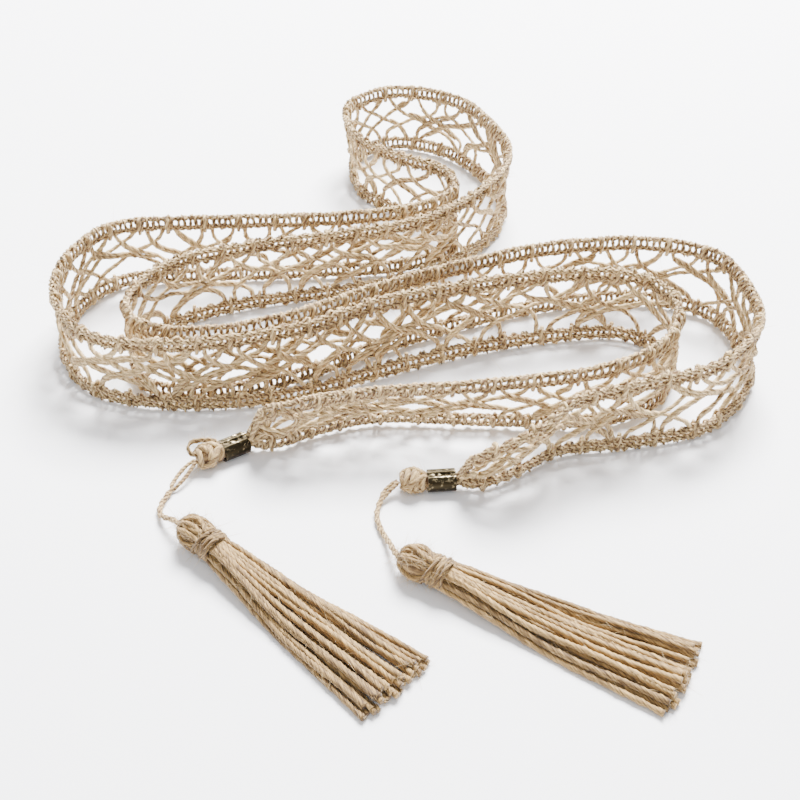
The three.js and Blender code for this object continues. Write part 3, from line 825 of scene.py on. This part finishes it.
# Turns over it lengthwise: the angle round it in degrees, how far that turns, thickness
KNOT_CROSSINGS = {
    "left": [(30, 110, 2.9), (-75, -120, 2.8), (150, 60, 2.4)],
    "right": [(35, 70, 2.2), (-60, -80, 2.2), (150, 60, 2.1), (-120, 50, 2.1)],
}


def clamp_frame(clamp):
    """Middle of a clamp's axis, the way to the lace, and the way to its left."""
    x, y, towards = clamp
    ahead = heading(towards)
    return on_table([x, y, CLAMP_OUTER / 2]), ahead, np.cross(UP, ahead)


# The body's colour is darkened with painted shade, 0.8 unless given, as for a core that lies in
# the shade of the yarns round it.
def turned_body(work, origin, axis, profile, shade=0.35, groove=0.8, sides=16):
    """A round body on an axis, from (along, radius) pairs."""
    axis = unit(np.asarray(axis, float))
    across = unit(np.cross(axis, [0.03, 0.02, 1.0]))
    up = np.cross(axis, across)
    angle = np.arange(sides) * 2 * math.pi / sides
    rings = np.array([
        origin + axis * along + radius * (
            np.cos(angle)[:, None] * across + np.sin(angle)[:, None] * up
        )
        for along, radius in profile
    ])
    work.add(rings, np.array([along for along, _ in profile], float), shade, groove)


def on_knot(origin, ahead, along, angle, girth=1.0):
    """A place on the ball: how far from the clamp, and the angle round it from its top."""
    along, angle = np.broadcast_arrays(
        np.asarray(along, float), np.radians(np.asarray(angle, float))
    )
    share = np.clip((along - KNOT_LENGTH / 2) / (KNOT_LENGTH / 2), -1, 1)
    radius = girth * (KNOT_GIRTH / 2 - 1.15) * np.sqrt(np.clip(1 - 0.82 * share**2, 0, 1))
    return (
        origin + UP * KNOT_REST - ahead * along[:, None]
        + (radius * np.sin(angle))[:, None] * np.cross(UP, ahead)
        + (radius * np.cos(angle))[:, None] * UP
    )


def wind_ball(knot, origin, ahead, turns, crossings):
    round_it = np.linspace(0, 360, 44)
    for along, slant, thick in turns:
        slanted = along + slant * np.cos(np.radians(round_it))
        places = on_knot(origin, ahead, slanted, round_it + rng.uniform(0, 360))
        knot.spin(places, -ahead, thick=thick, step=0.55, turn=9.0, relief=0.6)
    share = np.linspace(0, 1, 30)
    aside = unit(np.cross(UP, ahead) + 0.3 * UP)
    for angle, sweep, thick in crossings:
        places = on_knot(origin, ahead, 0.6 + 9.0 * share, angle + sweep * (share - 0.5), 1.14)
        knot.spin(places, aside, thick=thick, step=0.55, turn=9.0, relief=0.6)


def open_loop(knot, ahead):
    """The small bow of two yarns on top of the left knot."""
    loop = spline(on_table(KNOT_LOOP), 10)
    bow = np.sin(math.pi * np.linspace(0, 1, len(loop)))[:, None]
    for beside in (-0.55, 0.55):
        knot.spin(
            loop + beside * bow * [0.35, 0.4, 0.9], unit(ahead + UP), thick=1.25, step=0.5
        )


# %%
# Tie the knots
for side, clamp in (("left", LEFT_CLAMP), ("right", RIGHT_CLAMP)):
    middle, ahead, left = clamp_frame(clamp)
    knot = Work(f"knotted_yarn_{side}")
    origin = middle - ahead * (CLAMP_LENGTH / 2 + KNOT_GAP)
    # Both cores of the knot are darkened with painted shade.
    turned_body(knot, origin, -ahead, CORE_IN_CLAMP)
    turned_body(knot, origin + UP * KNOT_REST, -ahead, CORE_OF_BALL)
    wind_ball(knot, origin, ahead, KNOT_TURNS[side], KNOT_CROSSINGS[side])
    if side == "left":
        open_loop(knot, ahead)
    knot.make(CORD_FINISH, "jute_yarn", [f"knot_{side}"])

# %% [markdown]
# A tassel is a bundle of yarns doubled over at the head and bound at the neck. The cord's own
# yarn spreads over the tip of the head as a cone. On the table the skirt fans out flat in three
# layers, and its ends are cut unevenly and a little frayed.

# %%
# Tassel sizes and places
TASSEL_LENGTH = 108
HEAD_GIRTH = 13
HEAD_LENGTH = 11.5
NECK_GIRTH = 9.8
SKIRT_SPREAD = 37
TASSEL_YARN = 2.2
HEAD_PROFILE = [
    (0.3, 0.9), (1.2, 2.4), (3.2, 4.0), (6.0, 4.9), (9.0, 4.5), (11.5, 3.7), (21.5, 3.6),
]
SKIRT_LAYERS = [(0, 15, 1.0), (1, 13, 0.92), (2, 9, 0.72)]  # layer, yarns, share of the width


TASSELS = {"left": LEFT_TASSEL, "right": RIGHT_TASSEL}


def tassel_frame(side):
    """Tip of a tassel's head, the way along its skirt, and the way to its left."""
    x, y, towards = TASSELS[side]
    ahead = heading(towards)
    return on_table([x, y, HEAD_GIRTH / 2]), ahead, np.cross(UP, ahead)


def in_tassel(side, along, across, height):
    """Places along a tassel from its tip, across it to the left, and above the table."""
    tip, ahead, left = tassel_frame(side)
    foot = tip * [1, 1, 0]
    return foot + np.outer(along, ahead) + np.outer(across, left) + np.outer(height, UP)


def round_tassel(side, along, radius, angle):
    """Places round the middle line of a tassel's head and neck."""
    across, height = radius * np.sin(angle), HEAD_GIRTH / 2 + radius * np.cos(angle)
    return in_tassel(side, along, across, height)


# %% [markdown]
# The head's yarns go from the tip to the binding over a round core, evenly all round. A few
# more cross them on top, because the yarns of a real one are never quite in order.

# %%
# Tassel heads
HEAD_YARNS = 19
CROSSING_YARNS = 9
CONE_THREADS = 9


def head_yarns(tassel, side):
    left = tassel_frame(side)[2]
    share = np.linspace(0, 1, 22)
    along = 0.6 + 13.0 * share
    for k in range(HEAD_YARNS + CROSSING_YARNS):
        radius = np.interp(along, *zip(*HEAD_PROFILE)) + 0.4 + rng.uniform(-0.2, 0.3)
        radius = radius + 0.25 * np.sin(along * rng.uniform(0.5, 1.1) + k)
        angle = 2 * math.pi * (k + rng.uniform(-0.3, 0.3)) / HEAD_YARNS
        angle = angle + rng.uniform(-0.45, 0.45) * np.sin(math.pi * share) + 0.25 * share
        if k >= HEAD_YARNS:
            radius = radius + 0.75
            angle = angle + rng.uniform(0.6, 1.3) * rng.choice([-1, 1]) * (share - 0.5)
        tassel.spin(
            round_tassel(side, along, radius, angle),
            [0.03, 0.02, 1.0] if abs(math.sin(angle[0])) > 0.5 else left,
            thick=rng.uniform(1.5, 2.3), turn=9.0, relief=0.5,
        )


def cord_cone(tassel, side):
    """The cord's own yarn, spread over the tip."""
    cord_back, cord_end = cord_lines[side][-12], cord_lines[side][-1]
    for k in range(CONE_THREADS):
        angle = 2 * math.pi * k / CONE_THREADS
        rim, onto = round_tassel(side, [0.9, 3.4], np.array([1.9, 3.9]), angle)
        thread = spline([cord_back, cord_end * 0.55 + rim * 0.45, rim, onto], 6)
        tassel.spin(thread, [0.3, 0.5, 0.8], thick=1.35, turn=7.0, step=0.6)


# %% [markdown]
# Each yarn of the skirt leaves the neck at its own spot, drops within the first three fifths of
# its way, and then lies on the table or on the layer below. It swells a little at its cut end.

# %%
# Tassel skirts and bindings


def skirt_yarn(tassel, side, spot, layer, k):
    """One yarn. spot is its place across the fan, from -1 to 1."""
    share = np.linspace(0, 1, 44)
    reach = TASSEL_LENGTH * (0.972 - 0.02 * spot**2 - 0.008 * layer)
    start = HEAD_LENGTH + 2.5
    along = start + (reach + rng.uniform(-1.3, 1.0) - start) * share
    neck_across = 4.2 * spot
    end_spot = np.clip(spot + rng.normal(0, 0.02 + 0.06 * layer), -1, 1)
    end_across = end_spot * (SKIRT_SPREAD / 2 - 1.2)
    across = neck_across + (end_across - neck_across) * share**0.8
    wave = np.sin(5 * share + (k // 3) * 2.1 + layer) * np.sin(math.pi * share * 0.9)
    across = across + (0.3 + 0.25 * layer) * wave
    across = across + rng.uniform(0.1, 0.5) * np.sin(share * rng.uniform(6, 12) + k)
    neck_height = HEAD_GIRTH / 2 + 3.3 * (layer - 1) * math.sqrt(1.05 - spot**2)
    rest = 1.15 + 1.75 * layer + rng.uniform(0, 0.6)
    drop = np.clip(share * 1.7, 0, 1)
    drop = drop * drop * (3 - 2 * drop)
    height = neck_height + (rest - neck_height) * drop
    height = height + rng.uniform(0.2, 0.6) * np.sin(9 * share + 2 * k) * drop
    tassel.spin(
        in_tassel(side, along, across, np.maximum(height, 1.05)), [0.03, 0.02, 1.0],
        thick=TASSEL_YARN * rng.uniform(0.85, 1.12),
        swell=np.interp(share, [0, 0.96, 1], [1, 1, 1.15]), turn=12.0, step=0.9, relief=0.42,
    )


def wind_binding(bound, side):
    """Turns round the neck, and four slanting ones over them."""
    ahead = tassel_frame(side)[1]
    turns = np.linspace(0, 4.6, 190)
    angle = 2 * math.pi * turns
    radius = NECK_GIRTH / 2 + 0.05 + 0.2 * np.sin(turns * 9)
    along = HEAD_LENGTH + 0.9 + 1.45 * turns + 0.5 * np.sin(angle + 1)
    bound.spin(
        round_tassel(side, along, radius, angle), ahead, thick=1.7, turn=8.0, relief=0.7
    )
    angle = np.linspace(0, 2 * math.pi, 44)
    for slant, begin in ((2.6, 12.4), (-2.2, 14.6), (3.1, 16.2), (-1.2, 17.6)):
        radius = NECK_GIRTH / 2 + 0.55 + 0.25 * np.sin(3 * angle + slant)
        along = begin + slant * np.sin(angle + 0.5 * slant)
        bound.spin(
            round_tassel(side, along, radius, angle), ahead, thick=1.45, turn=8.0, relief=0.7
        )


# %%
# Make the tassels
for side in TASSELS:
    tip, ahead, left = tassel_frame(side)
    tassel = Work(f"tassel_yarns_{side}")
    # The head's core is darkened a little with painted shade.
    turned_body(tassel, tip, ahead, HEAD_PROFILE, groove=0.35)
    head_yarns(tassel, side)
    cord_cone(tassel, side)
    for layer, count, wide in SKIRT_LAYERS:
        for k in range(count):
            spot = wide * (-1 + 2 * (k + 0.5) / count) + rng.uniform(-0.03, 0.03)
            skirt_yarn(tassel, side, spot, layer, k)
    tassel.make(TASSEL_FINISH, "jute_tassel", [f"tassel_{side}"])
    bound = Work(f"bound_yarn_{side}")
    wind_binding(bound, side)
    bound.make(TASSEL_FINISH, "jute_yarn", [f"binding_{side}"])

# %% [markdown]
# Old brass is dark brown to black, and bare metal shows where it is rubbed: along the rims and
# edges, and in small specks.

# %%
# Old brass


def old_brass():
    material, tree, shader = new_finish("old_brass")
    place = Value(tree, tree.nodes.new("ShaderNodeTexCoord").outputs["Object"])
    cloud = place.node(
        "ShaderNodeTexNoise", out=0,
        sockets={"Vector": place, "Scale": 650.0, "Detail": 4.0, "Roughness": 0.6},
    )
    edge = Value(tree, tree.nodes.new("ShaderNodeNewGeometry").outputs["Pointiness"])
    worn = edge.within(0.53, 0.62) * 0.7 + cloud.within(0.56, 0.7) * 0.55
    colour = worn.blend((0.026, 0.02, 0.011, 1), (0.46, 0.37, 0.22, 1))
    attach(tree, colour, shader.inputs["Base Color"])
    attach(tree, 0.42 - worn * 0.2, shader.inputs["Roughness"])
    bumps = place.node(
        "ShaderNodeBump", out=0,
        sockets={"Strength": 0.35, "Distance": 0.0001, "Height": cloud},
    )
    attach(tree, bumps, shader.inputs["Normal"])
    shader.inputs["Metallic"].default_value = 1.0
    return material


BRASS_FINISH = old_brass()


# %% [markdown]
# A clamp is a short piece of brass tube, pressed in along two grooves so that it grips, with a
# row of dents in each. It is modelled as a real one would be made: a drawn tube, cut into
# rings, pressed at the grooves, given a wall, and its rims rounded. Its axis then goes along
# the clamp's, with the grooves on top.

# %%
# Press the clamps
GRIP_GROOVES = [(62, 0.885), (108, 0.90)]  # angle round the tube, and how far it is pressed
GROOVE_HALF = 9  # half of a groove's width, in degrees
SHOULDER_HALF = 15
DENT_HEIGHTS = (-2.4, 0.2, 2.7)  # from the tube's middle
DENT_HALF = 0.6
TUBE_RINGS = 14


def squeeze(tube, share, angle, half, low=-1.0, high=1.0):
    """Presses a part of the tube towards its axis: what lies within half degrees of an angle,
    between two heights."""
    bpy.ops.mesh.select_all(action="DESELECT")
    bpy.ops.object.mode_set(mode="OBJECT")
    for vertex in tube.data.vertices:
        there = math.degrees(math.atan2(vertex.co.y, vertex.co.x))
        vertex.select = abs(there - angle) < half and low < vertex.co.z < high
    bpy.ops.object.mode_set(mode="EDIT")
    bpy.ops.transform.resize(value=(share, share, 1), center_override=(0, 0, 0))


for side, clamp in (("left", LEFT_CLAMP), ("right", RIGHT_CLAMP)):
    bpy.ops.object.select_all(action="DESELECT")
    bpy.ops.mesh.primitive_cylinder_add(
        vertices=72, radius=CLAMP_OUTER / 2000, depth=CLAMP_LENGTH / 1000,
        end_fill_type="NOTHING",
    )
    tube = bpy.context.object
    tube.name = f"brass_clamp_{side}"
    bpy.ops.object.mode_set(mode="EDIT")
    bpy.ops.mesh.select_mode(type="VERT")
    for k in range(1, TUBE_RINGS):
        bpy.ops.mesh.select_all(action="SELECT")
        cut = (k / TUBE_RINGS - 0.5) * CLAMP_LENGTH / 1000
        bpy.ops.mesh.bisect(plane_co=(0, 0, cut), plane_no=(0, 0, 1))
    for angle, share in GRIP_GROOVES:
        squeeze(tube, share, angle, GROOVE_HALF)
        squeeze(tube, 0.965, angle, SHOULDER_HALF)
    for height in DENT_HEIGHTS:
        low, high = (height - DENT_HALF) / 1000, (height + DENT_HALF) / 1000
        for angle, _ in GRIP_GROOVES:
            squeeze(tube, 0.9, angle, GROOVE_HALF, low, high)
    bpy.ops.mesh.select_all(action="SELECT")
    bpy.ops.mesh.normals_make_consistent(inside=False)
    bpy.ops.object.mode_set(mode="OBJECT")
    wall = tube.modifiers.new("wall", "SOLIDIFY")
    wall.thickness = CLAMP_WALL / 1000
    wall.offset = -1
    bpy.ops.object.modifier_apply(modifier="wall")
    rims = tube.modifiers.new("rims", "BEVEL")
    rims.width = 0.00016
    rims.segments = 2
    rims.angle_limit = math.radians(50)
    bpy.ops.object.modifier_apply(modifier="rims")
    bpy.ops.object.shade_smooth_by_angle(angle=math.radians(38))
    middle, ahead, left = clamp_frame(clamp)
    axes = Matrix([left.tolist(), UP.tolist(), ahead.tolist()]).transposed().to_4x4()
    tube.data.transform(Matrix.Translation((middle / 1000).tolist()) @ axes)
    tube.data.materials.append(BRASS_FINISH)
    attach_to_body(tube, "root")
    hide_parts(f"clamp_{side}")
    print(tube.name, len(tube.data.polygons), "faces")

# %% [markdown]
# Jute sheds. Fine stray fibres stand out of every strand, mostly along it, and catch the light.
# The short strands of the heads, knots and bindings are the hairiest. The long ones, which are
# the skirts' yarns and the first winding of each binding, are a little frayed at one end.

# %%
# Stray fibres
hairs = Work("stray_fibres")


def stray_fibre(line, at, length, outward):
    """One fibre that leaves a strand at one of its points and bends off."""
    at_end = at == len(line) - 2
    along = unit(line[at + 1] - line[at - 1]) * (1 if at_end else rng.choice([-1, 1]))
    wild = unit(rng.normal(size=3))
    out = unit(wild - along * (wild @ along))
    bend = unit(rng.normal(size=3))
    share = np.linspace(0, 1, 4)[:, None]
    path = line[at] + out * 0.6 + length * (
        share * (0.75 * along + outward * out) + 0.35 * share**2 * bend
    )
    path[:, 2] = np.maximum(path[:, 2], 0.12)
    hairs.hair(path, rng.uniform(0.08, 0.15))


FIBRES = 6400
END_FIBRES = 5
HEAD_FIBRES = 12
LONG_STRAND = 60
strands = [line for work in ALL_WORK for line in work.lines]
lengths = np.array([run_of(line)[-1] for line in strands])
for k in rng.choice(len(strands), FIBRES, p=lengths / lengths.sum()):
    at = rng.integers(1, len(strands[k]) - 1)
    stray_fibre(strands[k], at, 0.8 + rng.gamma(3.0, 1.1), 0.55)

for work in ALL_WORK:
    if not work.name.startswith(("tassel", "bound", "knotted")):
        continue
    for line in work.lines:
        if run_of(line)[-1] > LONG_STRAND:
            for _ in range(END_FIBRES):
                stray_fibre(line, len(line) - 2, rng.uniform(1.2, 3.2), 0.25)
        else:
            for at in rng.integers(1, len(line) - 1, HEAD_FIBRES):
                stray_fibre(line, at, 0.8 + rng.gamma(3.0, 1.0), 0.7)
hairs.make(HAIR_FINISH, "jute_yarn")

# %% [markdown]
# The table is matt and almost white. Broad daylight comes from behind it, as from a window, and
# a weak light in front and a bright room lift the shadows.

# %%
# Table and light
bpy.ops.mesh.primitive_plane_add(size=6, location=(0, 0, 0))
table_top = bpy.context.object
table_top.name = "table_top"
table_top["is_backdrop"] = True
material, tree, shader = new_finish("pale_table")
place = Value(tree, tree.nodes.new("ShaderNodeTexCoord").outputs["Object"])
grain = place.node("ShaderNodeTexNoise", out=0, sockets={"Vector": place, "Scale": 4.0})
attach(tree, grain.blend((0.9, 0.9, 0.925, 1), (0.915, 0.915, 0.94, 1)), shader.inputs[0])
shader.inputs["Roughness"].default_value = 0.9
table_top.data.materials.append(material)


def soft_light(name, place, aim_at, size, power):
    bpy.ops.object.light_add(type="AREA", location=place)
    lamp = bpy.context.object
    lamp.name = name
    lamp.data.size = size
    lamp.data.energy = power
    away = np.asarray(place, float) - np.asarray(aim_at, float)
    lamp.rotation_mode = "QUATERNION"
    lamp.rotation_quaternion = Vector(away).to_track_quat("Z", "Y")
    lamp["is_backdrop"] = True
    return lamp


soft_light("window", (0.3, 1.05, 1.5), (0, 0.1, 0), 0.9, 290)
soft_light("fill", (-0.3, -1.2, 1.3), (0, 0, 0), 1.8, 14)
world = bpy.data.worlds.new("room")
bpy.context.scene.world = world
world.use_nodes = True
world.node_tree.nodes["Background"].inputs[0].default_value = (0.9, 0.92, 0.95, 1)
world.node_tree.nodes["Background"].inputs[1].default_value = 0.82

# %% [markdown]
# Last, the bounds of the finished scene are found.

# %%
# Close
low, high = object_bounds()
